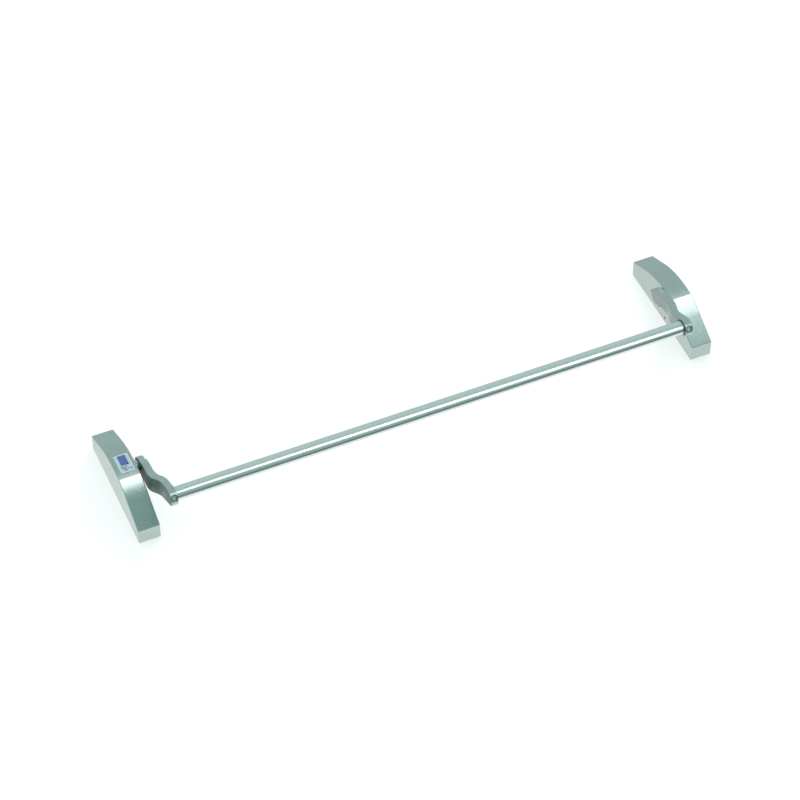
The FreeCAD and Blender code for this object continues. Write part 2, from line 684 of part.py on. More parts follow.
def make_clips():
    """Snap rings in the shafts' grooves."""
    rings = []
    for side in SIDES:
        low, high = side.span(clip_low, clip_low + dim.clip_thick)
        name = f"{side.name}_clip"
        outside = cylinder(name + "_outside", dim.clip_radius, low, high, x=side.x, z=dim.pivot_height)
        inside = cylinder(name + "_inside", dim.groove_radius, low - PAST, high + PAST, x=side.x,
                          z=dim.pivot_height)
        mouth = doc.addObject("Part::Box", name + "_mouth")
        bind(mouth, "Length", dim.clip_thick + 2 * PAST)
        bind(mouth, "Width", dim.groove_radius)
        bind(mouth, "Height", dim.clip_radius + PAST)
        place(mouth, side.x + low - PAST, -dim.groove_radius / 2,
              dim.pivot_height - dim.clip_radius - PAST)
        rings.append(cut(name, outside, fuse(name + "_opening", inside, mouth)))
    return node(group("clips", *rings), "shaft_clips")


def make_washers():
    """Thrust washers between each cover and its arm."""
    rings = []
    for side in SIDES:
        low, high = side.span(half_width + dim.washer_gap, arm_back)
        name = f"{side.name}_washer"
        outside = cylinder(name + "_outside", dim.washer_radius, low, high, x=side.x, z=dim.pivot_height)
        inside = cylinder(name + "_inside", dim.shaft_radius, low - PAST, high + PAST, x=side.x,
                          z=dim.pivot_height)
        rings.append(cut(name, outside, inside))
    return node(group("washers", *rings), "pivot_washers")


# ---------------------------------------------------------------- arms and bar
def on_rim(centre_y, centre_z, radius, angle):
    """The point of a circle at an angle from the Y axis."""
    angle = size(angle)
    return (centre_y + radius * cos(angle), centre_z + radius * sin(angle))


def draw_behind_web(drawing, way, depth):
    """Plan view of the space behind the web, up to a depth inside it. The web steps away from the
    case in an S of two equal arcs."""
    middle_y = (dim.joggle_start_y + dim.joggle_end_y) / 2
    near, far = arm_back + depth, boss_back + depth
    past_y = dim.bar_y - CLEAR
    corners = [(way * (arm_back - PAST), dim.joggle_start_y), (way * near, dim.joggle_start_y),
               (way * (near + dim.joggle / 2), middle_y), (way * far, dim.joggle_end_y),
               (way * far, past_y), (way * (arm_back - PAST), past_y)]
    draw_outline(drawing, corners, {1: (joggle_bend, -way), 2: (joggle_bend, way)})


def make_arm(side):
    """Cast arm: a round lug on the shaft, a cranked web and the boss that holds the bar."""
    part = body(f"{side.name}_arm_blank")
    low, high = side.span(arm_back, boss_front)
    top = dim.pivot_height
    lug = dim.lug_radius
    boss = dim.boss_radius
    bends = [(dim.crown_y, dim.crown_z), (dim.web_top_y, dim.web_top_z),
             (dim.web_top_end_y, dim.web_top_end_z), (dim.web_low_end_y, dim.web_low_end_z),
             (dim.web_low_y, dim.web_low_z)]
    corners = [
        on_rim(0, top, lug, 45), *bends[:3], on_rim(boss_y, boss_z, boss, 63),
        on_rim(boss_y, boss_z, boss, 180), on_rim(boss_y, boss_z, boss, -118), *bends[3:],
        (dim.heel_y, dim.heel_z), on_rim(0, top, lug, -117), on_rim(0, top, lug, 0)]
    arcs = {4: (boss, -1), 5: (boss, -1), 10: (lug, -1), 11: (lug, -1)}
    pad(part, "YZ_Plane", low, high, lambda d: draw_outline(d, corners, arcs))

    def bend(edge):
        spot = middle_of(edge)
        along_x = abs(edge.BoundBox.XLength - (high - low).value) < 0.01
        return along_x and any(math.hypot(spot.y - y.value, spot.z - z.value) < 0.5 for y, z in bends)

    dress(part, "Fillet", dim.web_bend, bend)

    way = side.inward

    def in_front(drawing):
        start_y = dim.joggle_start_y + dim.joggle_lead
        end_y = dim.joggle_end_y + dim.joggle_lead
        corners = [(way * (boss_front + PAST), CLEAR), (way * arm_front, CLEAR), (way * arm_front, start_y),
                   (way * (arm_front + dim.joggle / 2), (start_y + end_y) / 2),
                   (way * boss_front, end_y), (way * (boss_front + PAST), end_y)]
        draw_outline(drawing, corners, {2: (joggle_bend, -way), 3: (joggle_bend, way)})

    over_all = dim.bar_z + CLEAR
    pocket(part, "XY_Plane", 0, over_all, lambda d: draw_behind_web(d, way, 0))
    pocket(part, "XY_Plane", 0, over_all, in_front)
    low, high = side.span(lug_front, arm_front + PAST)
    pocket(part, "YZ_Plane", low, high, lambda d: draw_circle(d, (0, top), dim.lug_step_radius))

    low, high = side.span(arm_back, shaft_end)
    pocket(part, "YZ_Plane", low, high, lambda d: draw_circle(d, (0, top), dim.shaft_radius))
    low, high = side.span(socket_floor, boss_front)
    pocket(part, "YZ_Plane", low, high,
           lambda d: draw_circle(d, (dim.bar_y, dim.bar_z), dim.bar_radius + dim.shaft_clearance))
    pocket(part, "XY_Plane", top - lug - PAST, top + arm_pin_top,
           lambda d: draw_circle(d, (way * lug_middle, 0), dim.cross_pin_radius))
    return part


def make_relief(side):
    """The space in front of the web's lower edge: it follows the web's bend at an even depth."""
    part = body(f"{side.name}_relief")
    round_lug = dim.relief_lug_radius
    round_boss = dim.boss_radius + dim.relief_boss_margin
    boss_foot = on_rim(boss_y, boss_z, round_boss, -118)
    lug_foot = on_rim(0, dim.pivot_height, round_lug, -125)

    def outline(drawing):
        corners = [on_rim(0, dim.pivot_height, round_lug, 174), (dim.relief_bend_y, dim.relief_bend_z),
                   (dim.relief_end_y, dim.relief_end_z), on_rim(boss_y, boss_z, round_boss, -45), boss_foot,
                   (boss_foot[0], PAST), (lug_foot[0], PAST), lug_foot]
        draw_outline(drawing, corners, {3: (round_boss, 1), 7: (round_lug, 1)})

    low, high = side.span(arm_back + dim.relief_back, boss_front + PAST)
    pad(part, "YZ_Plane", low, high, outline)
    pocket(part, "XY_Plane", 0, dim.bar_z + CLEAR, lambda d: draw_behind_web(d, side.inward, dim.relief_back))
    return part


def finish_arm(side, part):
    """Cuts the relief, and the set screw's hole and seat, which point up and away from the cases."""
    middle = (boss_back + boss_front) / 2
    lean = Rotation(Vector(1, 0, 0), 90 - dim.boss_tilt.value)
    reach = dim.boss_radius + dim.boss_offset

    def tool(name, radius, start, length):
        rod = doc.addObject("Part::Cylinder", f"{side.name}_{name}")
        bind(rod, "Radius", radius)
        bind(rod, "Height", length)
        place(rod, side.inward * middle, dim.bar_y - start * cos(dim.boss_tilt),
              dim.bar_z + start * sin(dim.boss_tilt), lean)
        return rod

    seat_start = reach - dim.set_screw_seat_depth
    hole = tool("screw_hole", dim.set_screw_radius, dim.bar_radius - PAST, reach)
    seat = tool("screw_seat", dim.set_screw_seat, seat_start, dim.set_screw_seat_depth + PAST)
    screw_space = fuse(f"{side.name}_screw_space", hole, seat)
    arm = cut(f"{side.name}_arm_cut", cut(f"{side.name}_arm_relieved", part, make_relief(side)), screw_space)
    side_node(arm, side, "arm")

    length = seat_start - dim.bar_radius
    screw = tool("screw_blank", dim.set_screw_radius, dim.bar_radius, length)
    socket = doc.addObject("Part::Prism", f"{side.name}_screw_socket")
    socket.Polygon = 6
    bind(socket, "Circumradius", dim.set_screw_radius / math.sqrt(3))
    bind(socket, "Height", dim.set_screw_socket + PAST)
    start = seat_start - dim.set_screw_socket
    place(socket, side.inward * middle, dim.bar_y - start * cos(dim.boss_tilt),
          dim.bar_z + start * sin(dim.boss_tilt), lean)
    result = cut(f"{side.name}_set_screw", screw, socket)
    place(result, side.x)
    return result


def make_bar():
    """Round push bar: a tube between the two bosses' sockets."""
    part = body("bar")
    reach = dim.case_spacing / 2 - socket_floor - dim.bar_end_gap

    def ring(drawing):
        draw_circle(drawing, (dim.bar_y, dim.bar_z), dim.bar_radius)
        draw_circle(drawing, (dim.bar_y, dim.bar_z), dim.bar_radius - dim.bar_wall)

    pad(part, "YZ_Plane", -reach, reach, ring)
    return node(part, "bar_tube")


# ---------------------------------------------------------------- active case: slider and hub
def make_slider():
    """Drive slider: a plate on two guide studs, with a fork for the crank pin and a yoke for the hub."""
    part = body("slider")
    narrow, wide = dim.slider_half_width, dim.yoke_half_width
    yoke_low = slider_middle_y - dim.yoke_half_length
    yoke_high = slider_middle_y + dim.yoke_half_length
    flare = dim.yoke_flare

    def outline(drawing):
        draw_outline(drawing, [
            (-narrow, dim.slider_tail_y), (narrow, dim.slider_tail_y), (narrow, yoke_low - flare),
            (wide, yoke_low + flare), (wide, yoke_high), (-wide, yoke_high), (-wide, yoke_low + flare),
            (-narrow, yoke_low - flare)])

    pad(part, "XY_Plane", dim.slider_low, slider_top, outline)
    ear_y = crank_pin_y
    fork = dim.crank_pin_radius + dim.slot_clearance
    width = dim.ear_half_width

    def ear(drawing):
        draw_outline(drawing, [
            (ear_y - width, dim.slider_low), (ear_y + width, dim.slider_low), (ear_y + width, dim.ear_top),
            (ear_y + fork, dim.ear_top), (ear_y + fork, dim.ear_slot_floor),
            (ear_y - fork, dim.ear_slot_floor), (ear_y - fork, dim.ear_top), (ear_y - width, dim.ear_top)])

    pad(part, "YZ_Plane", dim.ear_low, dim.ear_high, ear)
    slot = dim.guide_radius + dim.body_gap

    def guide_slots(drawing):
        for guide in (-dim.guide_y, dim.guide_y):
            centre = guide - half_travel
            draw_outline(drawing, [
                (slot, centre - half_travel), (slot, centre + half_travel),
                (-slot, centre + half_travel), (-slot, centre - half_travel)],
                {1: (slot * TANGENT, -1), 3: (slot * TANGENT, -1)})

    pocket(part, "XY_Plane", dim.slider_low - PAST, slider_top + PAST, guide_slots)
    neck = dim.hub_neck_radius + dim.yoke_play
    pin = dim.hub_pin_radius + dim.slot_clearance
    outer = hub_pin_reach + dim.hub_pin_radius + dim.yoke_play

    def yoke_window(drawing):
        draw_outline(drawing, [
            (-neck, slider_middle_y - neck - half_travel), (neck, slider_middle_y - neck - half_travel),
            (neck, slider_middle_y - pin), (outer, slider_middle_y - pin),
            (outer, slider_middle_y + pin), (neck, slider_middle_y + pin),
            (neck, slider_middle_y + neck + half_travel), (-neck, slider_middle_y + neck + half_travel)])

    pocket(part, "XY_Plane", dim.slider_low - PAST, slider_top + PAST, yoke_window)
    return side_node(part, ACTIVE, "drive_slider")


def make_guide_studs():
    """Two shouldered studs riveted into the base plate, which the slider's slots run on."""
    studs = []
    for number, y in enumerate((-dim.guide_y, dim.guide_y)):
        name = f"guide_{number}"
        head_low = slider_top + dim.body_gap
        tail = cylinder(name + "_tail", dim.rivet_radius, 0, dim.plate_thick, y=y, along="z")
        collar = cylinder(name + "_collar", dim.guide_collar_radius, dim.plate_thick,
                          dim.slider_low - dim.body_gap, y=y, along="z")
        shank = cylinder(name + "_shank", dim.guide_radius, dim.plate_thick, head_low, y=y, along="z")
        head = cylinder(name + "_head", dim.guide_head_radius, head_low, head_low + dim.guide_head,
                        y=y, along="z")
        studs.append(fuse(name, tail, collar, shank, head))
    return side_node(group("guides", *studs), ACTIVE, "guide_studs")


def make_hub():
    """Spindle hub: a disc that turns in the base plate, with the square socket for a lock spindle."""
    part = body("hub")
    shoulder = dim.plate_thick + dim.body_gap
    disc_top = dim.slider_low - dim.hub_disc_gap
    centre = (0, dim.hub_y)
    pad(part, "XY_Plane", dim.hub_floor, shoulder, lambda d: draw_circle(d, centre, dim.hub_spigot_radius))
    pad(part, "XY_Plane", shoulder, disc_top, lambda d: draw_circle(d, centre, dim.hub_disc_radius))
    pad(part, "XY_Plane", disc_top, dim.hub_top, lambda d: draw_circle(d, centre, dim.hub_neck_radius))
    half = dim.spindle_square / 2
    pocket(part, "XY_Plane", 0, dim.hub_top + PAST, lambda d: draw_outline(
        d, rectangle((-half, dim.hub_y - half), (half, dim.hub_y + half))))
    reach_x, reach_y = hub_pin_reach * cos(half_turn), dim.hub_y - half_travel
    pocket(part, "XY_Plane", shoulder, disc_top + PAST,
           lambda d: draw_circle(d, (reach_x, reach_y), dim.hub_pin_radius))
    side_node(part, ACTIVE, "spindle_hub")
    pin = cylinder("hub_peg", dim.hub_pin_radius, shoulder, slider_top + dim.hub_pin_above,
                   x=reach_x, y=reach_y, along="z")
    side_node(group("hub_peg_group", pin), ACTIVE, "hub_pin")


def make_badge():
    """Thin adhesive plate that follows the cover's far arc."""
    part = body("badge")

    def on_arc(y, lift):
        """A point lifted off the far arc, given the Y of its foot."""
        share = (size(y) - far_centre_y) / far_radius
        rise = Size(math.sqrt(1 - share.value ** 2), f"sqrt(1 - {share.formula} * {share.formula})")
        return (far_centre_y + share * (far_radius + lift), far_centre_z + rise * (far_radius + lift))

    corners = [on_arc(dim.badge_low_y, 0), on_arc(dim.badge_high_y, 0),
               on_arc(dim.badge_high_y, dim.badge_thick), on_arc(dim.badge_low_y, dim.badge_thick)]
    arcs = {0: (far_radius, 1), 2: (far_radius + dim.badge_thick, -1)}
    low = dim.badge_inward - dim.badge_half_width
    high = dim.badge_inward + dim.badge_half_width
    pad(part, "YZ_Plane", low, high, lambda d: draw_outline(d, corners, arcs))
    side_node(part, ACTIVE, "badge_plate")


# ---------------------------------------------------------------- the whole device
set_screws = []
for end in SIDES:
    make_cover(end)
    make_base_plate(end)
    make_cover_screws(end)
    make_bracket(end)
    make_rivets(end)
    make_bushes(end)
    make_stop(end)
    make_shaft(end)
    make_crank(end)
    make_crank_pin(end)
    make_return_spring(end)
    set_screws.append(finish_arm(end, make_arm(end)))
node(group("set_screws", *set_screws), "bar_set_screws")
make_cross_pins("crank_pins", crank_middle, -dim.crank_ring, dim.crank_ring)
make_cross_pins("arm_pins", lug_middle, -dim.lug_radius, arm_pin_top)
make_clips()
make_washers()
make_bar()
make_slider()
make_guide_studs()
make_hub()
make_badge()

doc.recompute()
for thing in doc.Objects:
    if "Invalid" in thing.State or "Error" in thing.State:
        raise RuntimeError(f"{thing.Name} failed: {thing.State}")
os.makedirs("parts", exist_ok=True)
for part in nodes:
    if part.Shape.isNull() or not part.Shape.isValid() or not part.Shape.Solids:
        raise RuntimeError(f"{part.Label} has no valid solid")
    part.Shape.exportStep(f"parts/{part.Label}.step")
    print(f"{part.Label}: {len(part.Shape.Solids)} solid(s), {part.Shape.Volume / 1000:.2f} cm3")
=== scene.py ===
"""Looks of the horizontal push-bar exit device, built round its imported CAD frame."""
import json
import math

import bmesh
import bpy
from mathutils import Matrix, Vector


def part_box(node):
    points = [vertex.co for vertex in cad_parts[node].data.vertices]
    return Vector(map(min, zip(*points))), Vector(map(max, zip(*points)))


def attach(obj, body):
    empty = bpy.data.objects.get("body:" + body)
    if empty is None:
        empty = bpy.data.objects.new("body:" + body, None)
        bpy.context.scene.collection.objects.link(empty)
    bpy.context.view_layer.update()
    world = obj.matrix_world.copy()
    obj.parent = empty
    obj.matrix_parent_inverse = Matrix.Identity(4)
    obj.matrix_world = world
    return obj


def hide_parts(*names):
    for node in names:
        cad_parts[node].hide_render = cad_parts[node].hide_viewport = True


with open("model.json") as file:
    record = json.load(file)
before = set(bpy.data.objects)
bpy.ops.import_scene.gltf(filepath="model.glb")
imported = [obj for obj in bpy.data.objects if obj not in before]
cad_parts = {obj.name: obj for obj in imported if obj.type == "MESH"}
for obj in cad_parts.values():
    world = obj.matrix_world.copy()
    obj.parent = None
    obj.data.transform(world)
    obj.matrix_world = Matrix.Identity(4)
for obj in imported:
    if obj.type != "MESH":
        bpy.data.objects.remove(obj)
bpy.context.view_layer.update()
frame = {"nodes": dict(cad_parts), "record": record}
nodes = frame["nodes"]
slot_of = {part["node"]: part["material_slot"] for part in frame["record"]["subparts"]}
MM = 0.001


# ---------------------------------------------------------------- camera
CAMERA_AZIMUTH = math.radians(-23.577)
CAMERA_ELEVATION = math.radians(48.574)
CAMERA_DISTANCE = 5.3587
CAMERA_TARGET = Vector((-0.0096, 0.0039, 0.0))
CAMERA_LENS = 135.08
SENSOR = 36.0


def make_camera():
    data = bpy.data.cameras.new("camera")
    data.lens = CAMERA_LENS
    data.sensor_width = SENSOR
    camera = bpy.data.objects.new("camera", data)
    bpy.context.scene.collection.objects.link(camera)
    back = Vector((math.sin(CAMERA_AZIMUTH) * math.cos(CAMERA_ELEVATION),
                   -math.cos(CAMERA_AZIMUTH) * math.cos(CAMERA_ELEVATION),
                   math.sin(CAMERA_ELEVATION)))
    camera.location = CAMERA_TARGET + back * CAMERA_DISTANCE
    camera.rotation_mode = "QUATERNION"
    camera.rotation_quaternion = (-back).to_track_quat("-Z", "Y")
    bpy.context.scene.camera = camera


# ---------------------------------------------------------------- shader helpers
class Shader:
    """A node material in the making: adds nodes and joins them."""

    def __init__(self, name):
        self.material = bpy.data.materials.new(name)
        self.material.use_nodes = True
        self.tree = self.material.node_tree
        self.tree.nodes.clear()
        self.surface = self.add("ShaderNodeBsdfPrincipled")
        output = self.add("ShaderNodeOutputMaterial")
        self.join(self.surface.outputs["BSDF"], output.inputs["Surface"])

    def add(self, kind, **settings):
        node = self.tree.nodes.new(kind)
        for key, value in settings.items():
            setattr(node, key, value)
        return node

    def join(self, source, target):
        self.tree.links.new(source, target)

    def feed(self, target, value):
        """Sets a socket to a number or colour, or joins an output to it."""
        if isinstance(value, bpy.types.NodeSocket):
            self.join(value, target)
        else:
            target.default_value = value

    def place(self):
        """Coordinates in metres that stay with the piece."""
        return self.add("ShaderNodeTexCoord").outputs["Object"]

    def stretched(self, scale):
        """The same coordinates, stretched by a factor on each axis."""
        mapping = self.add("ShaderNodeMapping")
        mapping.inputs["Scale"].default_value = scale
        self.join(self.place(), mapping.inputs["Vector"])
        return mapping.outputs["Vector"]

    def noise(self, vector, scale=1.0, detail=3.0, roughness=0.55, distortion=0.0):
        texture = self.add("ShaderNodeTexNoise")
        self.join(vector, texture.inputs["Vector"])
        for key, value in (("Scale", scale), ("Detail", detail), ("Roughness", roughness),
                           ("Distortion", distortion)):
            texture.inputs[key].default_value = value
        return texture.outputs["Fac"]

    def ranged(self, value, low, high, to_low=0.0, to_high=1.0):
        """Maps low..high onto to_low..to_high, held at both ends."""
        node = self.add("ShaderNodeMapRange", clamp=True)
        self.join(value, node.inputs["Value"])
        for key, number in (("From Min", low), ("From Max", high), ("To Min", to_low), ("To Max", to_high)):
            node.inputs[key].default_value = number
        return node.outputs["Result"]

    def math(self, operation, first, second=0.0):
        node = self.add("ShaderNodeMath", operation=operation)
        self.feed(node.inputs[0], first)
        self.feed(node.inputs[1], second)
        return node.outputs["Value"]

    def mix(self, share, first, second):
        node = self.add("ShaderNodeMix", data_type="RGBA")
        self.feed(node.inputs[0], share)
        self.feed(node.inputs[6], first)
        self.feed(node.inputs[7], second)
        return node.outputs[2]

    def edges(self, width):
        """0 on flat ground, rising to 1 at edges that are sharper than the width."""
        rounded = self.add("ShaderNodeBevel", samples=4)
        rounded.inputs["Radius"].default_value = width
        flat = self.add("ShaderNodeNewGeometry")
        product = self.add("ShaderNodeVectorMath", operation="DOT_PRODUCT")
        self.join(rounded.outputs["Normal"], product.inputs[0])
        self.join(flat.outputs["Normal"], product.inputs[1])
        return self.ranged(product.outputs["Value"], 0.995, 0.88)

    def flanks(self, axis, low, high):
        """1 on faces square to one of the piece's own axes, 0 on faces along it."""
        facing = self.add("ShaderNodeSeparateXYZ")
        self.join(self.add("ShaderNodeTexCoord").outputs["Normal"], facing.inputs[0])
        return self.ranged(self.math("ABSOLUTE", facing.outputs[axis]), low, high)

    def crevices(self, reach, deep, open_ground):
        """1 where other surfaces stand closer than the reach, 0 on open ground."""
        near = self.add("ShaderNodeAmbientOcclusion", samples=8)
        near.inputs["Distance"].default_value = reach
        return self.ranged(near.outputs["AO"], deep, open_ground, 1.0, 0.0)

    def bump(self, height, distance, under=None):
        node = self.add("ShaderNodeBump")
        node.inputs["Strength"].default_value = 1.0
        node.inputs["Distance"].default_value = distance
        self.join(height, node.inputs["Height"])
        if under is not None:
            self.join(under, node.inputs["Normal"])
        return node.outputs["Normal"]

    def set(self, **sockets):
        for name, value in sockets.items():
            self.feed(self.surface.inputs[name.replace("_", " ")], value)


def shade(colour, factor):
    return (*[min(1.0, channel * factor) for channel in colour], 1.0)


# ---------------------------------------------------------------- materials
GRAIN_PITCH = 0.25 * MM
GRAIN_LENGTH = 40 * MM
STREAK_PITCH = 2.2 * MM
STREAK_LENGTH = 160 * MM


def along(axis, pitch, length):
    """Texture scale that draws lines of that pitch and length along an axis."""
    return tuple(1 / length if name == axis else 1 / pitch for name in "XYZ")


def brushed_steel(name, colour, roughness, grain, anisotropy, cross_grain=None, turn=0.0):
    """Satin steel: fine parallel scratches, slow streaks, faint handling marks, brighter edges and
    painted shade in tight gaps."""
    shader = Shader(name)
    fine = shader.noise(shader.stretched(along(grain, GRAIN_PITCH, GRAIN_LENGTH)), detail=2.0)
    streaks = shader.noise(shader.stretched(along(grain, STREAK_PITCH, STREAK_LENGTH)), detail=3.0)
    if cross_grain:
        # faces square to the grain are brushed the other way
        across = shader.noise(shader.stretched(along(cross_grain, GRAIN_PITCH, GRAIN_LENGTH)), detail=2.0)
        fine = shader.mix(shader.flanks(grain, 0.80, 0.90), fine, across)
    marks = shader.noise(shader.place(), scale=22.0, detail=4.0, roughness=0.6, distortion=0.6)
    edge = shader.edges(1.2 * MM)
    tone = shader.math("ADD", shader.math("MULTIPLY", streaks, 0.6), shader.math("MULTIPLY", fine, 0.4))
    base = shader.mix(shader.ranged(tone, 0.3, 0.7), shade(colour, 0.93), shade(colour, 1.06))
    base = shader.mix(shader.ranged(marks, 0.55, 0.80, 0.0, 0.25), base, shade(colour, 0.92))
    base = shader.mix(shader.math("MULTIPLY", edge, 0.45), base, shade(colour, 1.25))
    # painted shade: the base colour goes nearly black where other surfaces stand within 14 mm, standing in
    # for the shadow in tight gaps
    base = shader.mix(shader.math("MULTIPLY", shader.crevices(14 * MM, 0.05, 0.5), 0.85), base,
                      shade(colour, 0.08))
    rough = shader.math("ADD", shader.ranged(tone, 0.3, 0.7, roughness - 0.03, roughness + 0.04),
                        shader.ranged(marks, 0.5, 0.8, 0.0, 0.05))
    shader.set(Base_Color=base, Roughness=rough, Metallic=1.0, Anisotropic=anisotropy,
               Anisotropic_Rotation=turn)
    if cross_grain:
        # a fixed direction across the grain, which has to change where the face looks along it
        direction = shader.mix(shader.flanks(cross_grain, 0.7, 0.8), (1.0, 0.0, 0.0, 1.0),
                               (0.0, 0.0, 1.0, 1.0))
    else:
        direction = shader.add("ShaderNodeTangent", direction_type="RADIAL", axis="X").outputs["Tangent"]
    shader.join(direction, shader.surface.inputs["Tangent"])
    shader.join(shader.bump(fine, 0.012 * MM), shader.surface.inputs["Normal"])
    return shader.material


def cast_steel(name, colour, roughness):
    """Casting with linished edges and pebbled skin; painted shade darkens its flanks and recesses."""
    shader = Shader(name)
    pebbles = shader.noise(shader.place(), scale=2400.0, detail=2.0)
    lumps = shader.noise(shader.place(), scale=260.0, detail=3.0)
    stains = shader.noise(shader.place(), scale=38.0, detail=4.0, roughness=0.65)
    edge = shader.edges(1.6 * MM)
    base = shader.mix(shader.ranged(stains, 0.35, 0.65), shade(colour, 0.88), shade(colour, 1.08))
    base = shader.mix(shader.ranged(pebbles, 0.4, 0.65, 0.0, 0.3), base, shade(colour, 0.8))
    # painted shade: faces square to the arm's X axis get a darker base colour
    base = shader.mix(shader.flanks("X", 0.75, 0.95), base, shade(colour, 0.58))
    base = shader.mix(shader.math("MULTIPLY", edge, 0.45), base, shade(colour, 1.3))
    # painted shade: the base colour goes nearly black where other surfaces stand within 30 mm, and again
    # within 6 mm
    for reach, deep, open_ground, share in ((30 * MM, 0.15, 0.85, 0.95), (6 * MM, 0.45, 0.9, 0.85)):
        grime_and_shade = shader.math("MULTIPLY", shader.crevices(reach, deep, open_ground), share)
        base = shader.mix(grime_and_shade, base, shade(colour, 0.06))
    shader.set(Base_Color=base, Metallic=1.0,
               Roughness=shader.ranged(lumps, 0.3, 0.7, roughness - 0.05, roughness + 0.07))
    skin = shader.bump(pebbles, 0.02 * MM)
    shader.join(shader.bump(lumps, 0.08 * MM, under=skin), shader.surface.inputs["Normal"])
    return shader.material


def zinc_plate(name, colour):
    """Zinc-plated sheet and turned parts: cloudy, with a faint spangle."""
    shader = Shader(name)
    cells = shader.add("ShaderNodeTexVoronoi")
    cells.inputs["Scale"].default_value = 340.0
    shader.join(shader.place(), cells.inputs["Vector"])
    cloud = shader.noise(shader.place(), scale=60.0, detail=4.0)
    base = shader.mix(shader.ranged(cloud, 0.35, 0.65), shade(colour, 0.85), shade(colour, 1.08))
    base = shader.mix(shader.ranged(cells.outputs["Distance"], 0.2, 0.8, 0.0, 0.25), base,
                      shade(colour, 0.72))
    base = shader.mix(shader.math("MULTIPLY", shader.edges(0.5 * MM), 0.5), base, shade(colour, 1.3))
    shader.set(Base_Color=base, Metallic=1.0, Roughness=shader.ranged(cloud, 0.3, 0.7, 0.30, 0.46))
    shader.join(shader.bump(cloud, 0.03 * MM), shader.surface.inputs["Normal"])
    return shader.material


def turned_steel(name, colour, roughness):
    """Turned or drawn steel: fine rings, a little oil, bright rubbed rims."""
    shader = Shader(name)
    rings = shader.noise(shader.stretched(along("Y", 0.3 * MM, 6 * MM)), detail=2.0)
    oil = shader.noise(shader.place(), scale=180.0, detail=3.0)
    base = shader.mix(shader.ranged(oil, 0.35, 0.7), shade(colour, 1.05), shade(colour, 0.8))
    base = shader.mix(shader.math("MULTIPLY", shader.edges(0.4 * MM), 0.6), base, shade(colour, 1.6))
    shader.set(Base_Color=base, Metallic=1.0,
               Roughness=shader.ranged(rings, 0.3, 0.7, roughness - 0.04, roughness + 0.06))
    shader.join(shader.bump(rings, 0.01 * MM), shader.surface.inputs["Normal"])
    return shader.material


def moulded_rubber(name, colour):
    """Matt black sleeve with a fine pebble and dusty high spots."""
    shader = Shader(name)
    pebbles = shader.noise(shader.place(), scale=1500.0, detail=2.0)
    dust = shader.noise(shader.place(), scale=120.0, detail=4.0)
    base = shader.mix(shader.ranged(dust, 0.5, 0.8, 0.0, 0.4), shade(colour, 1.0), (0.12, 0.12, 0.11, 1.0))
    shader.set(Base_Color=base, Roughness=shader.ranged(dust, 0.3, 0.7, 0.72, 0.88))
    shader.join(shader.bump(pebbles, 0.03 * MM), shader.surface.inputs["Normal"])
    return shader.material


def printed_badge(name, low, high):
    """Printed film: pale border, blue field over most of the far part, plain bars below it."""
    shader = Shader(name)
    spot = shader.add("ShaderNodeSeparateXYZ")
    shader.join(shader.place(), spot.inputs[0])
    across = shader.ranged(spot.outputs["X"], low.x, high.x)
    up = shader.ranged(spot.outputs["Y"], low.y, high.y)

    def panel(left, right, bottom, top):
        soft = 0.012
        sides = (shader.ranged(across, left - soft, left + soft),
                 shader.ranged(across, right - soft, right + soft, 1.0, 0.0),
                 shader.ranged(up, bottom - soft / 2, bottom + soft / 2),
                 shader.ranged(up, top - soft / 2, top + soft / 2, 1.0, 0.0))
        inside = sides[0]
        for side in sides[1:]:
            inside = shader.math("MULTIPLY", inside, side)
        return inside

    grime_and_shade = shader.noise(shader.place(), scale=420.0, detail=4.0)
    film = shader.mix(shader.ranged(grime_and_shade, 0.4, 0.75), (0.70, 0.78, 0.86, 1.0), (0.56, 0.64, 0.74, 1.0))
    colour = shader.mix(panel(0.06, 0.94, 0.04, 0.96), (0.78, 0.86, 0.96, 1.0), film)
    blue = shader.mix(shader.ranged(grime_and_shade, 0.3, 0.7), (0.085, 0.15, 0.44, 1.0), (0.11, 0.19, 0.50, 1.0))
    colour = shader.mix(panel(0.22, 0.80, 0.37, 0.94), colour, blue)
    colour = shader.mix(panel(0.66, 0.80, 0.37, 0.45), colour, (0.012, 0.022, 0.13, 1.0))
    dark = (0.06, 0.08, 0.10, 1.0)
    for left, right, bottom in ((0.16, 0.34, 0.28), (0.42, 0.62, 0.28), (0.22, 0.50, 0.19),
                                (0.58, 0.66, 0.19), (0.30, 0.56, 0.10), (0.74, 0.90, 0.14)):
        colour = shader.mix(panel(left, right, bottom, bottom + 0.045), colour, dark)
    shader.set(Base_Color=colour, Roughness=shader.ranged(grime_and_shade, 0.3, 0.7, 0.28, 0.42),
               Specular_IOR_Level=0.5, Coat_Weight=0.3, Coat_Roughness=0.2)
    shader.join(shader.bump(grime_and_shade, 0.01 * MM), shader.surface.inputs["Normal"])
    return shader.material


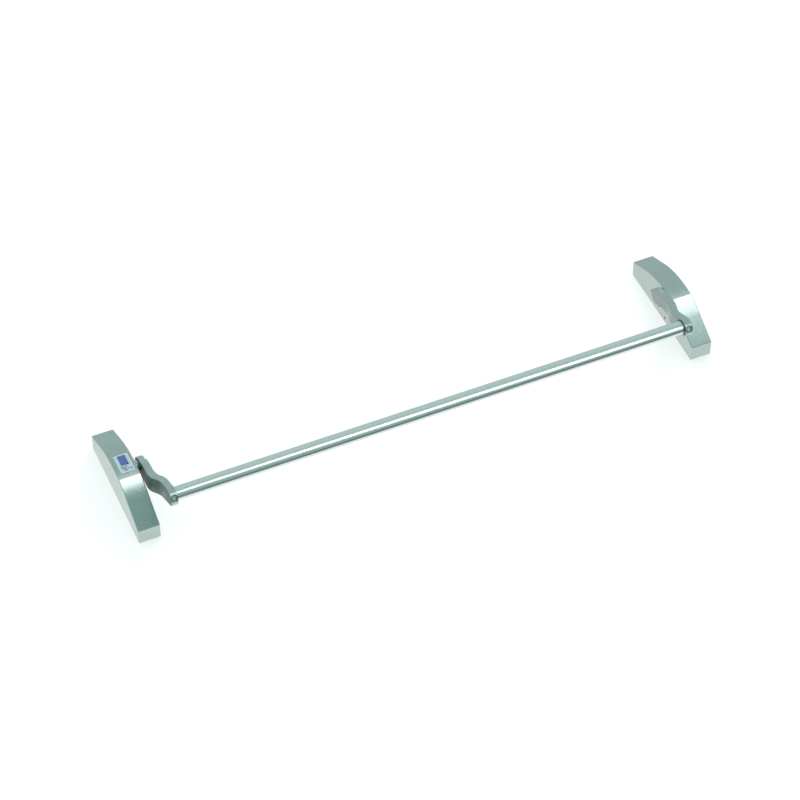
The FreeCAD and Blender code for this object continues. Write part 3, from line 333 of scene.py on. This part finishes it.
STEEL = (0.50, 0.570, 0.550)
badge_low, badge_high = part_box("active_badge_plate")
materials = {
    "satin_steel": brushed_steel("satin_steel", STEEL, 0.27, "Y", 0.55, cross_grain="X"),
    "brushed_tube": brushed_steel("brushed_tube", (0.78, 0.81, 0.80), 0.25, "Y", 0.5, turn=0.25),
    "cast_satin": cast_steel("cast_satin", (0.53, 0.61, 0.58), 0.34),
    "zinc_steel": zinc_plate("zinc_steel", (0.60, 0.60, 0.57)),
    "bright_steel": turned_steel("bright_steel", (0.66, 0.69, 0.68), 0.18),
    "screw_steel": turned_steel("screw_steel", (0.17, 0.19, 0.19), 0.34),
    "spring_steel": turned_steel("spring_steel", (0.28, 0.29, 0.30), 0.30),
    "bronze": turned_steel("bronze", (0.58, 0.40, 0.20), 0.34),
    "rubber": moulded_rubber("rubber", (0.03, 0.03, 0.03)),
    "badge_white": printed_badge("badge_white", badge_low, badge_high),
}


def paint(piece, slot):
    """Gives a piece one of the materials above."""
    piece.data.materials.clear()
    piece.data.materials.append(materials[slot])


for name, piece in nodes.items():
    paint(piece, slot_of[name])


# ---------------------------------------------------------------- cast arms with soft edges
ARM_VOXEL = 0.7 * MM
ARM_SMOOTHING = 7


def make_cast_arm(side):
    """The arm's CAD shape with its edges rounded as a casting's are."""
    node = f"{side}_arm"
    arm = bpy.data.objects.new(f"{side}_cast_arm", nodes[node].data.copy())
    bpy.context.scene.collection.objects.link(arm)
    remesh = arm.modifiers.new("remesh", "REMESH")
    remesh.mode = "VOXEL"
    remesh.voxel_size = ARM_VOXEL
    smooth = arm.modifiers.new("smooth", "SMOOTH")
    smooth.factor = 0.5
    smooth.iterations = ARM_SMOOTHING
    bpy.context.view_layer.update()
    shaped = bpy.data.meshes.new_from_object(arm.evaluated_get(bpy.context.evaluated_depsgraph_get()))
    arm.modifiers.clear()
    arm.data = shaped
    for face in shaped.polygons:
        face.use_smooth = True
    paint(arm, "cast_satin")
    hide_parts(node)
    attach(arm, "push_bar")
    return arm


arms = [make_cast_arm(end) for end in ("active", "passive")]


# ---------------------------------------------------------------- floor and light
FLOOR_SIZE = 30.0
FLOOR_DROP = 0.3 * MM
WHITE_REACH = 1.3
GREY_REACH = 2.6
# the paper is slightly pink, because the surroundings that light it are slightly green
PAPER_NEAR, PAPER_FAR = (1.0, 0.88, 0.89, 1.0), (0.66, 0.60, 0.61, 1.0)
GLOW_NEAR, GLOW_FAR = (0.58, 0.58, 0.58, 1.0), (0.25, 0.25, 0.25, 1.0)
ROOM_BACK = (0.53, 0.665, 0.655)
ROOM_FRONT = (0.30, 0.475, 0.44)
ROOM_LOW_FRONT = (0.16, 0.23, 0.22)
ROOM_BELOW = (1.0, 1.05, 1.03)
PANEL_HEIGHT = 1.15


def make_floor():
    """Pale studio floor: white round the object, pale grey further out. The metal doesn't mirror it."""
    mesh = bpy.data.meshes.new("floor")
    outline = bmesh.new()
    bmesh.ops.create_grid(outline, x_segments=1, y_segments=1, size=FLOOR_SIZE / 2)
    outline.to_mesh(mesh)
    outline.free()
    floor = bpy.data.objects.new("floor", mesh)
    floor.location.z = -FLOOR_DROP
    bpy.context.scene.collection.objects.link(floor)
    shader = Shader("floor")
    away = shader.add("ShaderNodeVectorMath", operation="LENGTH")
    shader.join(shader.place(), away.inputs[0])
    far = shader.ranged(away.outputs["Value"], WHITE_REACH, GREY_REACH)
    paper = shader.noise(shader.place(), scale=900.0, detail=2.0)
    colour = shader.mix(far, PAPER_NEAR, PAPER_FAR)
    glow = shader.mix(far, GLOW_NEAR, GLOW_FAR)
    shader.set(Base_Color=colour, Roughness=0.9, Specular_IOR_Level=0.1, Emission_Color=glow,
               Emission_Strength=1.0)
    shader.join(shader.bump(paper, 0.02 * MM), shader.surface.inputs["Normal"])
    mesh.materials.append(shader.material)
    floor.visible_glossy = False


def make_world():
    """Soft surroundings: darker in front than behind, with a dark band low in front and pale below."""
    world = bpy.data.worlds.new("studio")
    bpy.context.scene.world = world
    world.use_nodes = True
    tree = world.node_tree
    tree.nodes.clear()
    direction = tree.nodes.new("ShaderNodeTexCoord")
    parts = tree.nodes.new("ShaderNodeSeparateXYZ")
    tree.links.new(direction.outputs["Generated"], parts.inputs[0])

    def step(axis, low, high):
        share = tree.nodes.new("ShaderNodeMapRange")
        share.interpolation_type = "SMOOTHSTEP"
        share.inputs["From Min"].default_value = low
        share.inputs["From Max"].default_value = high
        tree.links.new(parts.outputs[axis], share.inputs["Value"])
        return share.outputs["Result"]

    def blend(share, first, second):
        mix = tree.nodes.new("ShaderNodeMix")
        mix.data_type = "RGBA"
        tree.links.new(share, mix.inputs[0])
        for socket, colour in ((mix.inputs[6], first), (mix.inputs[7], second)):
            if isinstance(colour, bpy.types.NodeSocket):
                tree.links.new(colour, socket)
            else:
                socket.default_value = (*colour, 1.0)
        return mix.outputs[2]

    above = blend(step("Y", -0.5, 0.5), ROOM_FRONT, ROOM_BACK)
    low = blend(step("Y", -0.3, 0.2), ROOM_LOW_FRONT, ROOM_BACK)
    below = blend(step("Z", -0.70, -0.50), ROOM_BELOW, low)
    background = tree.nodes.new("ShaderNodeBackground")
    output = tree.nodes.new("ShaderNodeOutputWorld")
    tree.links.new(blend(step("Z", -0.12, 0.10), below, above), background.inputs["Color"])
    tree.links.new(background.outputs["Background"], output.inputs["Surface"])


def make_panel(name, centre, aim, width, height, glow, run=(1.0, 0.0, 0.0), only_on=(), mirrored=True,
               colour=(1.0, 1.0, 1.0)):
    """A soft rectangular light that faces a point, its width along run. glow is how bright it looks.
    It lights only the pieces named, if there are any."""
    data = bpy.data.lights.new(name, "AREA")
    data.shape = "RECTANGLE"
    data.size, data.size_y = width, height
    data.energy = glow * width * height * math.pi
    data.color = colour
    panel = bpy.data.objects.new(name, data)
    bpy.context.scene.collection.objects.link(panel)
    behind = (Vector(centre) - Vector(aim)).normalized()
    above = behind.cross(Vector(run)).normalized()
    turn = Matrix((above.cross(behind), above, behind)).transposed()
    panel.location = centre
    panel.rotation_mode = "QUATERNION"
    panel.rotation_quaternion = turn.to_quaternion()
    panel.visible_camera = False
    panel.visible_glossy = mirrored
    if only_on:
        lit = bpy.data.collections.new(name)
        for piece in only_on:
            lit.objects.link(piece)
        panel.light_linking.receiver_collection = lit


def make_ceiling_panel(name, x, y, width, height, glow, **settings):
    """A panel that faces straight down."""
    make_panel(name, (x, y, PANEL_HEIGHT), (x, y, 0.0), width, height, glow, **settings)


make_camera()
make_floor()
make_world()
# each case mirrors a panel in the near half of its hump; the bar and arms mirror the strip
active_top = (nodes["active_cover"], nodes["active_badge_plate"])
passive_top = (nodes["passive_cover"],)
rail = (nodes["bar_tube"], nodes["bar_set_screws"], nodes["pivot_washers"], *arms)
make_ceiling_panel("over_active_case", -0.33, 0.18, 0.55, 0.60, 2.4, run=(0.970, -0.242, 0.0),
                   only_on=active_top)
make_ceiling_panel("over_passive_case", 0.93, 0.18, 0.50, 0.54, 2.6, only_on=passive_top)
make_ceiling_panel("over_passive_front", 0.94, -0.23, 0.50, 0.30, 2.0, only_on=passive_top,
                   colour=(0.96, 0.95, 1.0))
make_panel("front_strip", (0.62, -1.23, 1.595), (0.0, -0.123, 0.105), 2.3, 0.75, 2.1,
           run=(1.38, -0.64, -0.69), only_on=rail)
make_panel("back_right", (1.6, 1.5, 2.2), (0.0, 0.0, 0.0), 1.4, 1.4, 1.6, mirrored=False)

bpy.context.scene.view_settings.view_transform = "Standard"
bpy.context.scene.view_settings.look = "None"
